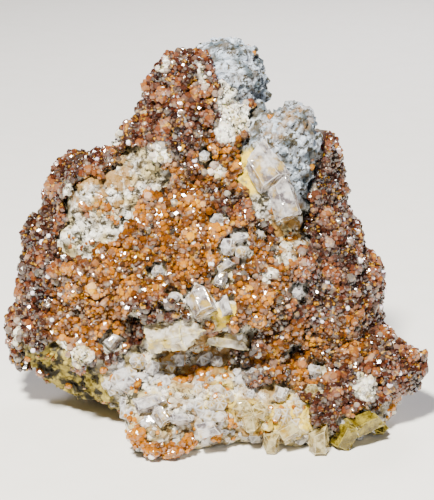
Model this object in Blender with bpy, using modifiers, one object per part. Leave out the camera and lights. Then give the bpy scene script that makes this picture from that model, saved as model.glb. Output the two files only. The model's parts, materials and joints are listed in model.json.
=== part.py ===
"""Garnet in matrix: a small-cabinet mineral specimen, with one solid for each piece that grew.

A pale host rock carries a crust of intergrown garnets, a few garnets of their own, and quartz
crystals, single and in clusters. Units are metres, +Z is up, and the show face looks towards -Y.
The origin is under the middle of the specimen's box, on the surface that it rests on.
"""

import math
import random
from typing import NamedTuple

import bmesh
import bpy
from mathutils import Euler, Matrix, Vector, noise
from mathutils.bvhtree import BVHTree

MM = 0.001

# Driving dimensions
ROCK_VOXEL = 1.2 * MM
ROCK_TRIANGLES = 1600
CRUST_VOXEL = 0.6 * MM
CRUST_LAYER = 1.3 * MM
LUMP_TRIANGLES = 5600
CRUST_TRIANGLES = 6300
GROWTH_GAP = 0.45 * MM
CRYSTAL_ROOT = 2.0
GARNET_SPACING = 3.6 * MM
REAR_GARNET_SPACING = 5.0 * MM
REAR_STARTS_AT = 10 * MM
GARNET_RADIUS = (0.66, 0.95)
LOWEST_GARNET = 0.8 * MM
SEED = 11

# The show face is laid out on a sheet that faces an eye in front of the specimen and above it
SHEET_CENTRE = Vector((0.2, -13.0, 33.1)) * MM
EYE_RISE = math.radians(19)
EYE_DISTANCE = 300 * MM


class Finish(NamedTuple):
    """The colour, in linear light, and the surface of one material."""

    name: str
    colour: tuple
    roughness: float
    metallic: float = 0


class Lobe(NamedTuple):
    """One rounded bulk of rock, or of air taken from it: centre and half sizes in mm, tilt in degrees."""

    name: str
    centre: tuple
    half: tuple
    tilt: tuple = (0, 0, 0)


class Break(NamedTuple):
    """A flat fracture: a point on it, the way it faces, its half sizes and depth in mm."""

    name: str
    point: tuple
    facing: tuple
    half: tuple
    depth: float


class Zone(NamedTuple):
    """A ball of space in mm, which marks a stretch of the rock's surface."""

    name: str
    centre: tuple
    radius: float


class Crystal(NamedTuple):
    """A crystal on the show face's sheet, in mm, with its axis turned clockwise from upright."""

    form: str
    across: float
    up: float
    width: float
    length: float
    reach: float
    turn: float = 0


class Growth(NamedTuple):
    """Crystals that grew together, as one solid."""

    name: str
    finish: Finish
    crystals: tuple


PALE_ROCK = Finish("pale_matrix", (0.72, 0.75, 0.78), 0.9)
AMBER = Finish("amber_garnet", (0.40, 0.14, 0.03), 0.3)
CLEAR = Finish("clear_quartz", (0.68, 0.66, 0.72), 0.15)
MILKY = Finish("milky_quartz", (0.75, 0.74, 0.66), 0.35)
STAINED = Finish("stained_quartz", (0.50, 0.46, 0.18), 0.2)

ROCK_LOBES = (
    Lobe("heart", (0, 3, 22), (26, 16.5, 19)),
    Lobe("left_flank", (-22, 2, 24), (11, 11, 12)),
    Lobe("left_slab", (-21, -2, 12), (15, 11.5, 10.5), (0, 8, -15)),
    Lobe("left_shoulder", (-23.5, 8, 34.5), (6, 6, 8.5)),
    Lobe("pale_ledge", (-17, 0, 37), (9, 7.5, 9), (0, -35, 0)),
    Lobe("left_slope", (-10, 4, 43), (7, 7.5, 8), (0, -20, 0)),
    Lobe("peak", (-5, 6, 46.5), (8, 8, 14)),
    Lobe("dome", (1.4, 12, 55.3), (8, 8, 9.2)),
    Lobe("right_face", (9, 2, 41), (8, 9, 15), (0, 18, 0)),
    Lobe("right_back", (15.5, 9, 38), (6, 6.5, 11)),
    Lobe("right_mass", (18.5, 3, 17.5), (9.8, 12, 12)),
    Lobe("right_wing", (25.5, -7, 9), (10, 6.5, 4.5)),
    Lobe("front_foot", (-2.5, -12, 4.5), (16.5, 10, 8)),
    Lobe("foot_corner", (-13.5, -14.5, 5), (5.5, 5.5, 6)),
    Lobe("front_toe", (-9, -20, 2.5), (5.5, 4.5, 4.5)),
    Lobe("right_foot", (13.5, -9.5, 3), (17.5, 11, 7)),
    Lobe("base", (1, 9, 6), (21, 14, 10)),
    Lobe("brow", (-3, -11, 23), (14, 7.5, 5)),
    Lobe("nose", (-18, -6, 25), (9, 6, 7)),
)
HOLLOWS = (
    Lobe("recess", (-5, -19, 15.4), (15, 7.5, 3.2)),
    Lobe("crevice", (17.5, -4, 38), (1.8, 7, 9), (0, 12, 0)),
    Lobe("wing_notch", (36, -14, 2.5), (6, 8, 3.5)),
)
BREAKS = (
    Break("underside_break", (-26.5, -13, 14.7), (-0.40, -0.78, -0.49), (12, 16), 14),
    Break("back_break", (2, 17.5, 22), (0.1, 0.96, 0.28), (24, 30), 12),
    Break("face_break", (12, -7.6, 46), (0.50, -0.80, 0.33), (9, 12), 6),
    Break("dome_top_break", (1.4, 12, 63.4), (-0.15, -0.25, 0.95), (9, 9), 4),
    Break("dome_side_break", (8.4, 10, 57), (0.92, -0.20, 0.34), (8, 8), 4),
)
FLOOR_BREAK = Break("floor_break", (0, 0, 0), (0, 0, -1), (60, 60), 20)

BARE_ZONES = (
    Zone("dome", (4, 13, 58), 9.5),
    Zone("upper_right_face", (7.5, -3, 54), 6.5),
    Zone("right_face", (12, -5, 46), 8.5),
    Zone("lower_right_face", (14, -7, 37), 6.5),
    Zone("right_back_top", (14, 6, 52), 7),
    Zone("pale_ledge_low", (-24.5, -8, 33.5), 5.5),
    Zone("pale_ledge", (-19, -6, 39), 5.5),
    Zone("pale_ledge_high", (-13, -4, 44), 5),
    Zone("underside", (-27, -9, 5), 10),
    Zone("toe", (-9, -23, 2), 7),
    Zone("front_foot_left", (-14.5, -18.5, 8), 8),
    Zone("front_foot", (-3, -18, 7), 8),
    Zone("front_foot_right", (8, -18, 4), 7),
    Zone("right_foot", (20, -18, -2), 6),
    Zone("under_wing", (30, -12, 2), 4.5),
    Zone("recess", (-5, -13, 15), 8),
    Zone("broken_back", (2, 22, 22), 16),
    Zone("broken_back_right", (14, 18, 30), 11),
    Zone("broken_back_left", (-12, 18, 14), 12),
)
GROWTHS = (
    Growth("quartz_upper", CLEAR, (
        Crystal("block", 8.0, 13.7, 6.5, 7.0, 3.6, -35),
        Crystal("block", 10.7, 8.8, 5.0, 7.5, 3.4, -20),
    )),
    Growth("quartz_central_block", MILKY, (Crystal("point", -6.0, -13.0, 5.6, 10.5, 5.0, 64),)),
    Growth("quartz_central_point", CLEAR, (Crystal("point", -3.0, -8.6, 4.4, 6.0, 4.5, -20),)),
    Growth("quartz_ledge", MILKY, (Crystal("block", 1.8, -14.4, 3.4, 8.0, 3.0, 100),)),
    Growth("quartz_high_cluster", CLEAR, (
        Crystal("stub", 1.7, 0.6, 3.0, 3.2, 2.8),
        Crystal("block", 3.5, 1.9, 2.0, 2.8, 2.6, 75),
        Crystal("stub", 3.9, -0.2, 2.4, 2.4, 2.8, 20),
    )),
    Growth("quartz_below_cluster", CLEAR, (Crystal("block", 1.2, -2.4, 2.4, 3.4, 2.6, 60),)),
    Growth("quartz_square_high", CLEAR, (Crystal("stub", 6.9, 2.3, 2.4, 2.3, 2.8, 10),)),
    Growth("quartz_middle", CLEAR, (Crystal("stub", 0.2, 4.7, 2.4, 2.5, 2.8),)),
    Growth("quartz_upper_left", CLEAR, (Crystal("stub", -2.4, 15.5, 2.3, 2.4, 2.8, 25),)),
    Growth("quartz_middle_low", CLEAR, (Crystal("block", 0.6, -5.2, 2.3, 2.8, 2.8, 15),)),
    Growth("quartz_square_right", CLEAR, (Crystal("stub", 13.2, -7.2, 2.4, 2.4, 2.8, 5),)),
    Growth("quartz_pair", CLEAR, (
        Crystal("stub", -7.0, -8.0, 2.1, 1.9, 2.8),
        Crystal("stub", -8.0, -9.4, 2.1, 2.1, 2.8, 30),
    )),
    Growth("quartz_beside_block", CLEAR, (Crystal("block", 1.2, -9.6, 2.2, 3.2, 2.8, -15),)),
    Growth("quartz_left", CLEAR, (Crystal("stub", -9.7, -3.8, 2.2, 2.7, 2.8),)),
    Growth("quartz_under_lip", CLEAR, (Crystal("block", -17.3, -15.4, 2.8, 2.8, 2.8, 40),)),
    Growth("quartz_recess", CLEAR, (
        Crystal("stub", -13.3, -18.7, 3.4, 3.2, 3.4),
        Crystal("stub", -10.8, -20.2, 2.7, 3.1, 3.0, 20),
    )),
    Growth("quartz_recess_right", CLEAR, (Crystal("stub", -0.2, -18.7, 2.5, 2.5, 2.4, 15),)),
    Growth("quartz_band_left", CLEAR, (
        Crystal("block", -11.0, -25.7, 3.6, 5.4, 3.0, 70),
        Crystal("point", -9.5, -27.8, 2.8, 4.2, 3.4, -30),
        Crystal("block", -6.7, -28.5, 2.4, 3.2, 2.8, 80),
    )),
    Growth("quartz_band_middle", CLEAR, (Crystal("block", -1.5, -29.6, 2.8, 4.0, 3.0, 75),)),
    Growth("quartz_band_high", CLEAR, (
        Crystal("stub", 3.2, -20.8, 2.3, 2.2, 2.6),
        Crystal("stub", 5.8, -21.2, 2.8, 2.8, 2.8, 20),
    )),
    Growth("quartz_band_right", CLEAR, (
        Crystal("stub", 4.2, -26.4, 3.4, 3.4, 2.8),
        Crystal("stub", 6.9, -27.0, 3.4, 3.0, 2.8, 25),
        Crystal("point", 5.6, -28.8, 3.0, 4.2, 3.0, 170),
    )),
    Growth("quartz_row_left", CLEAR, (
        Crystal("block", 9.1, -31.0, 3.2, 3.4, 3.4, 5),
        Crystal("block", 12.2, -30.2, 3.4, 3.8, 3.0, 60),
    )),
    Growth("quartz_row_right", CLEAR, (Crystal("block", 16.7, -31.1, 3.8, 4.4, 3.8, -5),)),
    Growth("quartz_olive", STAINED, (
        Crystal("block", 21.2, -30.4, 4.4, 5.0, 3.8, 25),
        Crystal("block", 26.2, -31.2, 4.2, 6.0, 3.4, 75),
        Crystal("stub", 26.6, -29.4, 3.6, 2.8, 2.8),
    )),
    Growth("quartz_right_cluster", CLEAR, (
        Crystal("block", 16.2, -18.1, 1.9, 2.4, 2.8, 10),
        Crystal("stub", 16.0, -20.4, 3.2, 3.0, 2.8, 15),
    )),
    Growth("quartz_right_low", CLEAR, (Crystal("stub", 15.8, -23.8, 2.8, 2.4, 2.8),)),
    Growth("quartz_wedge", CLEAR, (Crystal("point", 10.5, -24.4, 2.4, 3.0, 2.8, 200),)),
    Growth("toe_garnets", AMBER, (
        Crystal("garnet", -13.0, -31.0, 5.0, 5.0, 2.8, 10),
        Crystal("garnet", -10.6, -32.8, 5.4, 5.4, 2.8, 40),
        Crystal("garnet", -7.6, -33.2, 5.2, 5.2, 2.8, 70),
        Crystal("garnet", -4.9, -31.8, 4.2, 4.2, 2.4, 20),
    )),
    Growth("band_garnet_left", AMBER, (Crystal("garnet", -13.0, -22.4, 2.6, 2.6, 1.6, 10),)),
    Growth("band_garnet_far_left", AMBER, (Crystal("garnet", -18.6, -20.0, 2.4, 2.4, 1.5, 30),)),
    Growth("band_garnet_right", AMBER, (Crystal("garnet", 2.2, -28.9, 2.2, 2.2, 1.4, 50),)),
    Growth("recess_garnet", AMBER, (Crystal("garnet", -4.6, -22.0, 1.8, 1.8, 1.3, 20),)),
)

# Corners of each crystal form, one unit from its middle: X across, Y along its axis, Z out of the rock
RING = [(math.cos(math.tau * i / 6), math.sin(math.tau * i / 6)) for i in range(6)]
FORMS = {
    "point": [(a, y, b) for a, b in RING for y in (-1, 0.3)] + [(0.15, 1, 0)],
    "block": [(a, 0.2 * b - 1, b) for a, b in RING] + [(0.9 * a, 0.85 + 0.3 * a, 0.9 * b) for a, b in RING],
    "stub": [(a, b, z) for a, b in RING for z in (-1, 0.35)] + [(0.1, -0.1, 1)],
    "garnet": [(x, y, z) for x in (-0.5, 0.5) for y in (-0.5, 0.5) for z in (-0.5, 0.5)]
    + [(s, 0, 0) for s in (-1, 1)] + [(0, s, 0) for s in (-1, 1)] + [(0, 0, s) for s in (-1, 1)],
}


def material(finish):
    """A plain Principled material with the finish."""
    made = bpy.data.materials.get(finish.name) or bpy.data.materials.new(finish.name)
    made.use_nodes = True
    shader = made.node_tree.nodes["Principled BSDF"]
    shader.inputs["Base Color"].default_value = (*finish.colour, 1)
    shader.inputs["Roughness"].default_value = finish.roughness
    shader.inputs["Metallic"].default_value = finish.metallic
    return made


def piece(name, mesh, finish, collection):
    """One piece of the specimen, with its material."""
    mesh.materials.clear()
    mesh.materials.append(material(finish))
    obj = bpy.data.objects.new(name, mesh)
    collection.objects.link(obj)
    return obj


def helper(name, mesh, collection):
    """A cutter or a guide, which is no part of the specimen."""
    obj = bpy.data.objects.new(name, mesh)
    collection.objects.link(obj)
    obj.hide_render = True
    obj.display_type = "WIRE"
    return obj


def mesh_of(bm, name):
    """The bmesh as a mesh with its faces pointing out, and the bmesh freed."""
    bmesh.ops.recalc_face_normals(bm, faces=bm.faces)
    mesh = bpy.data.meshes.new(name)
    bm.to_mesh(mesh)
    bm.free()
    return mesh


def evaluated_mesh(obj):
    """The object's mesh with its modifiers applied."""
    bpy.context.view_layer.update()
    graph = bpy.context.evaluated_depsgraph_get()
    return bpy.data.meshes.new_from_object(obj.evaluated_get(graph))


def voxel_skin(obj, voxel):
    """A Remesh modifier that makes one even skin of everything in the object."""
    skin = obj.modifiers.new("skin", "REMESH")
    skin.mode = "VOXEL"
    skin.voxel_size = voxel


def facet(obj, triangles):
    """A Decimate modifier that leaves at most this many triangles, as flat facets."""
    fine = evaluated_mesh(obj)
    fine.calc_loop_triangles()
    thin = obj.modifiers.new("facet", "DECIMATE")
    thin.ratio = min(1, triangles / len(fine.loop_triangles))


def take_away(obj, other, solver="EXACT"):
    """A Boolean modifier that takes the other object's space from the object."""
    cut = obj.modifiers.new(other.name, "BOOLEAN")
    cut.operation = "DIFFERENCE"
    cut.object = other
    cut.solver = solver
    cut.use_self = solver == "EXACT"


def placed(centre, half, tilt):
    """Place, tilt and size, from mm and degrees, for a primitive that reaches one unit."""
    turn = Euler([math.radians(a) for a in tilt]).to_matrix().to_4x4()
    size = Matrix.Diagonal([h * MM for h in half]).to_4x4()
    return Matrix.Translation(Vector(centre) * MM) @ turn @ size


def rounded_bulk(name, lobes, collection):
    """Ellipsoids that overlap, in one helper object."""
    bm = bmesh.new()
    for lobe in lobes:
        where = placed(lobe.centre, lobe.half, lobe.tilt)
        bmesh.ops.create_icosphere(bm, subdivisions=3, radius=1, matrix=where)
    return helper(name, mesh_of(bm, name), collection)


def break_cutter(fracture, collection):
    """A box whose inner face lies on the fracture."""
    facing = Vector(fracture.facing).normalized()
    turn = facing.to_track_quat("Z", "Y").to_matrix().to_4x4()
    size = Matrix.Diagonal([h * MM for h in (*fracture.half, fracture.depth / 2)]).to_4x4()
    centre = (Vector(fracture.point) + facing * fracture.depth / 2) * MM
    bm = bmesh.new()
    bmesh.ops.create_cube(bm, size=2, matrix=Matrix.Translation(centre) @ turn @ size)
    return helper(fracture.name, mesh_of(bm, fracture.name), collection)


def weathered(co):
    """How far the rock's skin stands out at a point: broad swells, and angular faces between ridges."""
    swell = noise.noise(co / (13 * MM)) * 1.2
    near, next_near = noise.voronoi(co / (9 * MM))[0][:2]
    return (swell + (next_near - near) * 2.8 - 0.8) * MM


def rock_skin(helpers):
    """The host rock's skin: lobes joined, hollowed and broken, then weathered and left in flat facets."""
    cage = rounded_bulk("rock_cage", ROCK_LOBES, helpers)
    voxel_skin(cage, ROCK_VOXEL)
    take_away(cage, rounded_bulk("hollows", HOLLOWS, helpers))
    for fracture in BREAKS:
        take_away(cage, break_cutter(fracture, helpers))
    voxel_skin(cage, ROCK_VOXEL)

    skin = evaluated_mesh(cage)
    for vertex in skin.vertices:
        vertex.co += vertex.normal * weathered(vertex.co)
    rough = helper("rock_rough", skin, helpers)
    facet(rough, ROCK_TRIANGLES)
    return evaluated_mesh(rough)


def room_around(name, mesh, helpers):
    """A copy of a mesh with its skin moved out by the gap, to keep other solids clear of it."""
    room = helper(name, mesh.copy(), helpers)
    swell = room.modifiers.new("swell", "DISPLACE")
    swell.strength = GROWTH_GAP
    swell.mid_level = 0
    return room


def hull(bm, corners):
    """The flat-faced solid that a set of corners spans."""
    made = [bm.verts.new(c) for c in corners]
    spanned = bmesh.ops.convex_hull(bm, input=made)["geom"]
    edges = [e for e in spanned if isinstance(e, bmesh.types.BMEdge)]
    bmesh.ops.dissolve_limit(bm, angle_limit=math.radians(1), verts=made, edges=edges)


def sheet_axes():
    """The sheet's directions: across, up, and towards the eye."""
    towards = Vector((0, -math.cos(EYE_RISE), math.sin(EYE_RISE)))
    across = Vector((1, 0, 0))
    return across, towards.cross(across), towards


def seat(tree, across, up):
    """Where the rock lies behind a spot on the sheet, or nearest to it, and the rock's normal there."""
    right, rise, towards = sheet_axes()
    eye = SHEET_CENTRE + towards * EYE_DISTANCE
    spot = SHEET_CENTRE + (right * across + rise * up) * MM
    point, normal = tree.ray_cast(eye, spot - eye)[:2]
    if point is None:
        point, normal = tree.find_nearest(spot)[:2]
    return point, normal


def crystal(bm, tree, spec, growth=0):
    """One crystal with its root in the rock, and its faces moved out by the growth."""
    point, normal = seat(tree, spec.across, spec.up)
    right, rise, towards = sheet_axes()
    out = (towards + normal).normalized()
    turn = math.radians(spec.turn)
    side = (right * math.sin(turn) + rise * math.cos(turn)).cross(out).normalized()
    axis = out.cross(side)
    centre = point + out * (spec.reach - CRYSTAL_ROOT) / 2 * MM
    half = [h * MM / 2 + growth for h in (spec.width, spec.length, spec.reach + CRYSTAL_ROOT)]
    corners = [centre + side * x * half[0] + axis * y * half[1] + out * z * half[2]
               for x, y, z in FORMS[spec.form]]
    hull(bm, corners)


def grown_crystals(parts, tree, cutters):
    """The crystals that stand on the rock, each growth as one solid seated on it."""
    for growth in GROWTHS:
        bm = bmesh.new()
        for spec in growth.crystals:
            crystal(bm, tree, spec)
        made = piece(growth.name, mesh_of(bm, growth.name), growth.finish, parts)
        for cutter in cutters:
            take_away(made, cutter)


def crystal_room(helpers, tree, floor_cutter):
    """The space above the floor that the crystals take up in the crust, with their gap."""
    bm = bmesh.new()
    for growth in GROWTHS:
        for spec in growth.crystals:
            crystal(bm, tree, spec, GROWTH_GAP)
    room = helper("crystal_room", mesh_of(bm, "crystal_room"), helpers)
    take_away(room, floor_cutter)
    return room


def garnet_spacing(point, normal):
    """How far apart the garnets of the crust stand at a point, or 0 where the rock is bare."""
    bare = any((point - Vector(z.centre) * MM).length < z.radius * MM for z in BARE_ZONES)
    if bare or point.z < LOWEST_GARNET or normal.z < -0.35:
        return 0
    return GARNET_SPACING if point.y < REAR_STARTS_AT else REAR_GARNET_SPACING


def garnet_places(mesh, rng):
    """Points spread over the rock, no closer than the spacing there, with normals and spacings."""
    mesh.calc_loop_triangles()
    triangles = list(mesh.loop_triangles)
    kept = []
    for t in rng.choices(triangles, [t.area for t in triangles], k=12000):
        a, b, c = (mesh.vertices[i].co for i in t.vertices)
        u, v = rng.random(), rng.random()
        if u + v > 1:
            u, v = 1 - u, 1 - v
        p = a + (b - a) * u + (c - a) * v
        s = garnet_spacing(p, t.normal)
        if s and all((p - q).length > (s + r) / 2 for q, _, r in kept):
            kept.append((p, t.normal.copy(), s))
    return kept


def crust_base(rock):
    """The rock's skin, raised where the crust covers it and sunk where it is bare."""
    base = rock.copy()
    for vertex in base.vertices:
        covered = garnet_spacing(vertex.co, vertex.normal)
        vertex.co += vertex.normal * (CRUST_LAYER if covered else -GROWTH_GAP)
    return base


def garnet_mass(helpers, rock):
    """Garnets crowded over the rock, rhombic dodecahedra, as one faceted mass with the rock inside."""
    rng = random.Random(SEED)
    bm = bmesh.new()
    for point, normal, spacing in garnet_places(rock, rng):
        radius = spacing * rng.uniform(*GARNET_RADIUS)
        turn = Euler([rng.uniform(0, math.tau) for _ in range(3)]).to_matrix()
        centre = point + normal * 0.1 * radius
        hull(bm, [centre + turn @ Vector(c) * radius for c in FORMS["garnet"]])
    bm.from_mesh(crust_base(rock))
    mass = helper("garnet_mass", mesh_of(bm, "garnet_mass"), helpers)
    voxel_skin(mass, CRUST_VOXEL)
    facet(mass, LUMP_TRIANGLES)
    return mass


def shells(mesh):
    """The closed shells of a mesh, each as a mesh of its own."""
    whole = bmesh.new()
    whole.from_mesh(mesh)
    whole.faces.ensure_lookup_table()
    left = set(range(len(whole.faces)))
    made = []
    while left:
        queue = [min(left)]
        left.remove(queue[0])
        for index in queue:
            near = {n.index for edge in whole.faces[index].edges for n in edge.link_faces} & left
            left -= near
            queue += sorted(near)
        kept = set(queue)
        shell = whole.copy()
        bmesh.ops.delete(shell, geom=[f for f in shell.faces if f.index not in kept], context="FACES")
        made.append(mesh_of(shell, "shell"))
    whole.free()
    return made


def in_triangles(mesh):
    """The mesh in triangles, with no two faces split along one and the same line."""
    bm = bmesh.new()
    bm.from_mesh(mesh)
    source = bmesh.ops.triangulate(bm, faces=bm.faces)["face_map"]
    for edge in [e for e in bm.edges if len(e.link_faces) > 2]:
        halves = {}
        for loop in edge.link_loops:
            halves.setdefault(source[loop.face], []).append(loop)
        for first, second in halves.values():
            low, high = first.link_loop_prev.vert, second.link_loop_prev.vert
            if bm.edges.get((low, high)) is None:
                turned = ((low, first.vert, high), (high, second.vert, low))
                bmesh.ops.delete(bm, geom=[first.face, second.face], context="FACES_ONLY")
                for corners in turned:
                    bm.faces.new(corners)
                break
    return mesh_of(bm, mesh.name)


def garnet_crust(parts, mass):
    """The crust that is left of the garnet mass, without the scraps that the cuts set loose."""
    whole = max(shells(evaluated_mesh(mass)), key=lambda shell: len(shell.polygons))
    facet(piece("garnet_crust", in_triangles(whole), AMBER, parts), CRUST_TRIANGLES)


def stand_on_origin(parts, helpers):
    """Moves everything so that the origin is under the middle of the specimen's box."""
    corners = [v.co for obj in parts.objects for v in evaluated_mesh(obj).vertices]
    low = Vector(min(c[i] for c in corners) for i in range(3))
    high = Vector(max(c[i] for c in corners) for i in range(3))
    for obj in (*parts.objects, *helpers.objects):
        obj.location = (-(low.x + high.x) / 2, -(low.y + high.y) / 2, -low.z)


def main():
    """Builds the specimen from nothing."""
    for obj in list(bpy.data.objects):
        bpy.data.objects.remove(obj)
    parts = bpy.data.collections.new("garnet_in_matrix")
    helpers = bpy.data.collections.new("cutters")
    for collection in (parts, helpers):
        bpy.context.scene.collection.children.link(collection)

    rock = rock_skin(helpers)
    tree = BVHTree.FromPolygons([v.co for v in rock.vertices], [p.vertices for p in rock.polygons])
    floor_cutter = break_cutter(FLOOR_BREAK, helpers)
    rock_room = room_around("rock_room", rock, helpers)

    take_away(piece("matrix", rock.copy(), PALE_ROCK, parts), floor_cutter)
    grown_crystals(parts, tree, (rock_room, floor_cutter))
    mass = garnet_mass(helpers, rock)
    for cutter in (floor_cutter, rock_room, crystal_room(helpers, tree, floor_cutter)):
        take_away(mass, cutter, "MANIFOLD")
    garnet_crust(parts, mass)
    stand_on_origin(parts, helpers)


main()
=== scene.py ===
"""The looks of the garnet-in-matrix specimen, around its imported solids.

The druse's single garnets, the small quartz of the lower band, the rough skin of the host rock and
every finish are made here. Places on the show face are given on a sheet in mm that faces the eye, as
in the part's source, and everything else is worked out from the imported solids.
"""

import json
import logging
import math
from abc import ABC, abstractmethod
from collections.abc import Callable, Iterable
from dataclasses import dataclass, replace
from enum import Enum
from functools import cache
from typing import Any

import bmesh
import bpy
from bpy.types import Material, Mesh, Node, NodeSocket, NodeTree, Object
from mathutils import Matrix, Vector, noise
from mathutils.bvhtree import BVHTree


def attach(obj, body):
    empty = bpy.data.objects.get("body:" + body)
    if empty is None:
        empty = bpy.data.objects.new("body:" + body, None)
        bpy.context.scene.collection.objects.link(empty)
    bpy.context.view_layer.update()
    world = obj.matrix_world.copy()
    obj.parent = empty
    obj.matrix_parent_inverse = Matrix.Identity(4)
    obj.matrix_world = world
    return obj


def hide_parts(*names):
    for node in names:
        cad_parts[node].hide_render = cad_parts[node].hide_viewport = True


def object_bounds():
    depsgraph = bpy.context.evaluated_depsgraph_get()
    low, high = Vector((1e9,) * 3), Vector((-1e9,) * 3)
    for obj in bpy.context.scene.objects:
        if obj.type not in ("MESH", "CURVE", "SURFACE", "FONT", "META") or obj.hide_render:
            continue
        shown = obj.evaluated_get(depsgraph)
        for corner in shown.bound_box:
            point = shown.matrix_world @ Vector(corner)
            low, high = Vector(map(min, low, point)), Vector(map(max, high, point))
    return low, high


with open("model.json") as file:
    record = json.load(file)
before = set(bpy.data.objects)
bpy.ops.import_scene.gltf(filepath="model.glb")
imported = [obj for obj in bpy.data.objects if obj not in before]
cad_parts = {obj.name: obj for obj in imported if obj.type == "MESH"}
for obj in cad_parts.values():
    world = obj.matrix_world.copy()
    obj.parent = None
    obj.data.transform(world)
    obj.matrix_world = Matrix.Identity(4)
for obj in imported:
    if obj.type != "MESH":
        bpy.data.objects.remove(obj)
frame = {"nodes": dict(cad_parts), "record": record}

LOG = logging.getLogger("specimen")
MM = 0.001
NODES = frame["nodes"]
BOX_LOW, BOX_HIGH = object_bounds()
IMAGE_SIZE = (434, 500)
MIDDLE = Vector((0, 0, 0.03))
COLOURS = {"data_type": "RGBA"}
NUMBERS = {"data_type": "FLOAT"}
EASED = {"interpolation_type": "SMOOTHSTEP"}

Rule = Callable[[Vector], float]
Point = tuple[float, float, float]
Points = tuple[Point, ...]
Stops = tuple[tuple[float, str], ...]


class Slot(Enum):
    """The record's material slots."""

    ROCK = "pale_matrix"
    GARNET = "amber_garnet"
    CLEAR = "clear_quartz"
    MILKY = "milky_quartz"
    STAINED = "stained_quartz"


class Mark(Enum):
    """The attributes that the pieces carry for their materials and for what grows on them."""

    COVER = "cover"
    SIZE = "size"
    # amber or mauve brown of the garnets: on the druse this is painted light and grazing shade, on the loose
    # garnets it is partly random
    TONE = "tone"
    TINT = "tint"
    FROST = "frost"
    STAIN = "stain"
    OLIVE = "olive"
    BUFF = "buff"
    # where a bluish painted shade lies on the rock
    COOL = "cool"
    # painted shade in the creases between the rock's chips
    CREASE = "crease"
    # the sharp edges of the quartz, where a highlight is painted
    EDGE = "edge"


class Meeting(Enum):
    """Whether a film's clouds lie inside the marked places, or beside them."""

    INSIDE = "MULTIPLY"
    BESIDE = "MAXIMUM"


class Draw(Enum):
    """What is drawn at random for each crystal, with its fixed seed."""

    LEAN = 3
    SPIN = 5
    FORM = 9
    SHADE = 17
    # the few crystals that take a painted white highlight
    GLINT = 19


def linear(code: str) -> tuple[float, float, float, float]:
    """Turns an sRGB colour to linear light.

    Args:
        code: The colour as six hexadecimal digits.

    Returns:
        Red, green, blue and full opacity, in linear light.
    """
    parts = [int(code[i : i + 2], 16) / 255 for i in (0, 2, 4)]
    low_end, scale = 0.04045, 12.92
    lit = [p / scale if p <= low_end else ((p + 0.055) / 1.055) ** 2.4 for p in parts]
    return (lit[0], lit[1], lit[2], 1.0)


def per(size_mm: float) -> float:
    """The texture scale on metric coordinates for a pattern of this size in mm."""
    return 1 / (size_mm * MM)


def smooth(value: float) -> float:
    """Eases a value from 0 to 1, and holds it there outside that range."""
    held = min(max(value, 0.0), 1.0)
    return held * held * (3 - 2 * held)


def wander(point: Vector, size_mm: float) -> float:
    """Smooth noise between about -1 and 1, with swells of this size in mm."""
    return noise.noise(point * per(size_mm))


def inside(point: Vector, size_mm: float) -> float:
    """How far a point is inside its own cell: 0 on the border, for cells of this size in mm."""
    near, next_near = noise.voronoi(point * per(size_mm))[0][:2]
    return next_near - near


def out(node: Node, name: str | None = None) -> NodeSocket:
    """The node's first output that is in use, or the one with this name."""
    return next(s for s in node.outputs if s.enabled and name in (None, s.name))


def join(tree: NodeTree, node: Node, inputs: dict[str | int, Any]) -> None:
    """Sets and links a node's inputs.

    Args:
        tree: The node's tree.
        node: The node.
        inputs: Its inputs by name or number: a value, an output, a node whose first output is meant,
            or a list of these.
    """
    for name, value in inputs.items():
        shown = (s for s in node.inputs if s.enabled and s.name == name)
        socket = node.inputs[name] if isinstance(name, int) else next(shown)
        for source in value if isinstance(value, list) else [value]:
            source = out(source) if isinstance(source, Node) else source
            if isinstance(source, NodeSocket):
                tree.links.new(source, socket)
            else:
                socket.default_value = source


def add(tree: NodeTree, kind: str, settings: dict[str, Any] | None = None,
        inputs: dict[str | int, Any] | None = None, stops: Stops = ()) -> Node:
    """Adds a node to a tree, sets it and links it.

    Args:
        tree: The node tree that takes the node.
        kind: The node's type.
        settings: Its properties by name.
        inputs: Its inputs, as join takes them.
        stops: A colour ramp's rising places from 0 to 1, with their sRGB colours.

    Returns:
        The new node.
    """
    node = tree.nodes.new(kind)
    for name, value in (settings or {}).items():
        setattr(node, name, value)
    join(tree, node, inputs or {})
    for number, (place, code) in enumerate(stops):
        elements = node.color_ramp.elements
        element = elements[number] if number < 2 else elements.new(place)
        element.position, element.color = place, linear(code)
    return node


@dataclass(frozen=True)
class Clouds:
    """A cloudy pattern on the piece's own coordinates: the size of its clouds in mm, and how fine it is.

    Where it has a start and a full level, it is a share from 0 to 1 between them.
    """

    size: float
    detail: float = 3.0
    rough: float = 0.55
    start: float | None = None
    full: float | None = None

    def drawn(self, tree: NodeTree) -> Node:
        """Draws the pattern.

        Args:
            tree: The material's node tree.

        Returns:
            The node that gives the pattern's value.
        """
        where = out(add(tree, "ShaderNodeTexCoord"), "Object")
        swells = add(tree, "ShaderNodeTexNoise", inputs={
            "Vector": where, "Scale": per(self.size), "Detail": self.detail, "Roughness": self.rough})
        if self.full is None:
            return swells
        return add(tree, "ShaderNodeMapRange", EASED, {
            "Value": swells, "From Min": self.start, "From Max": self.full})

    def coloured(self, tree: NodeTree, stops: Stops) -> Node:
        """The pattern in colours, from its low places to its high ones."""
        return add(tree, "ShaderNodeValToRGB", inputs={"Fac": self.drawn(tree)}, stops=stops)


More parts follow.
